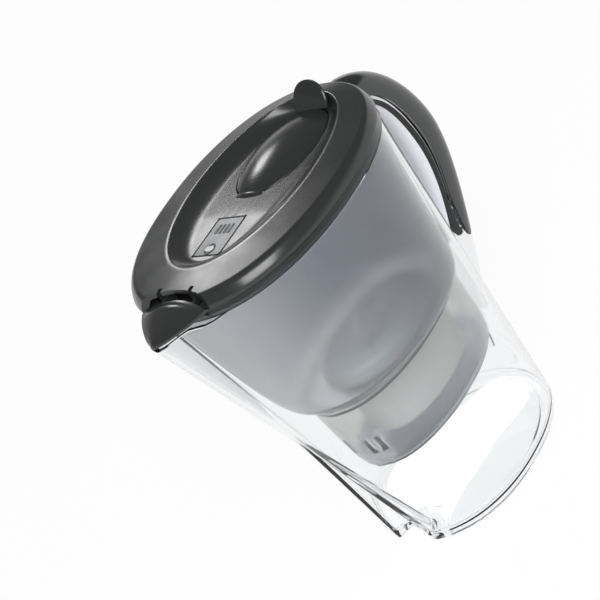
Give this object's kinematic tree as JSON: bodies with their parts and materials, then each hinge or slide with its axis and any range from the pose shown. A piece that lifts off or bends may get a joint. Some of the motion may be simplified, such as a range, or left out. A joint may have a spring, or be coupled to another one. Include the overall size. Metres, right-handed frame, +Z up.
{
  "type": "water filter pitcher",
  "caption": "Clear oval pitcher with a pointed spout, a hanging smoky funnel that holds a filter cartridge, and a dark lid with filling flap, change reminder and spout flap.",
  "frame": {"origin": "on the table, under the middle of the whole object's box", "axes": "+Z up, the spout points towards -X and the handle towards +X"},
  "size_m": [0.2644, 0.1494, 0.2595],
  "materials": {
    "clear_plastic": "clear moulded styrene acrylonitrile, polished",
    "grip": "dark translucent moulded plastic, glossy",
    "smoky_plastic": "smoky translucent polypropylene, satin",
    "lid": "graphite moulded plastic, satin gloss",
    "lid_inner": "dark moulded plastic, matte",
    "white_plastic": "white moulded polypropylene, satin",
    "seal": "dark silicone, matte",
    "mesh": "white polyester mesh",
    "granules": "mixed dark carbon and pale resin granules",
    "steel": "bright nickel-plated steel",
    "board": "green solder mask",
    "display": "grey liquid crystal panel under glass",
    "window": "clear moulded cover, glossy",
    "button": "pale grey moulded plastic, satin"
  },
  "bodies": {
    "jug": {"jug_body": "clear_plastic", "handle_frame": "clear_plastic", "handle_grip": "grip"},
    "funnel": {"funnel": "smoky_plastic", "cartridge_seat": "smoky_plastic"},
    "cartridge": {"cartridge_cup": "white_plastic", "cartridge_seal": "seal", "cartridge_cap": "white_plastic", "pull_ring": "white_plastic", "top_screen": "mesh", "bottom_screen": "mesh", "filter_media": "granules"},
    "lid": {"lid_shell": "lid", "lid_frame": "lid_inner", "memo_case": "lid_inner", "memo_battery": "steel", "memo_contact": "steel", "memo_board": "board", "memo_display": "display", "memo_window": "window"},
    "memo_button": {"memo_button": "button"},
    "fill_flap": {"fill_flap": "lid"},
    "spout_flap": {"spout_flap": "lid"}
  },
  "joints": [
    {"name": "funnel_lift", "type": "slide", "parent": "jug", "child": "funnel", "axis": [0, 0, 1], "range_m": [0, 0.18]},
    {"name": "cartridge_lift", "type": "slide", "parent": "funnel", "child": "cartridge", "axis": [0, 0, 1], "range_m": [0, 0.055]},
    {"name": "lid_lift", "type": "slide", "parent": "funnel", "child": "lid", "axis": [0, 0, 1], "range_m": [0, 0.06]},
    {"name": "memo_press", "type": "slide", "parent": "lid", "child": "memo_button", "axis": [0, 0, -1], "range_m": [0, 0.0005], "stiffness_N_per_m": 400, "springref_m": -0.0005},
    {"name": "fill_flap_hinge", "type": "hinge", "parent": "lid", "child": "fill_flap", "pos_m": [-0.0151, 0, 0.2425], "axis": [0, -1, 0], "range_deg": [0, 80]},
    {"name": "spout_flap_hinge", "type": "hinge", "parent": "lid", "child": "spout_flap", "pos_m": [-0.0947, 0, 0.241], "axis": [0, 1, 0], "range_deg": [0, 40]}
  ]
}
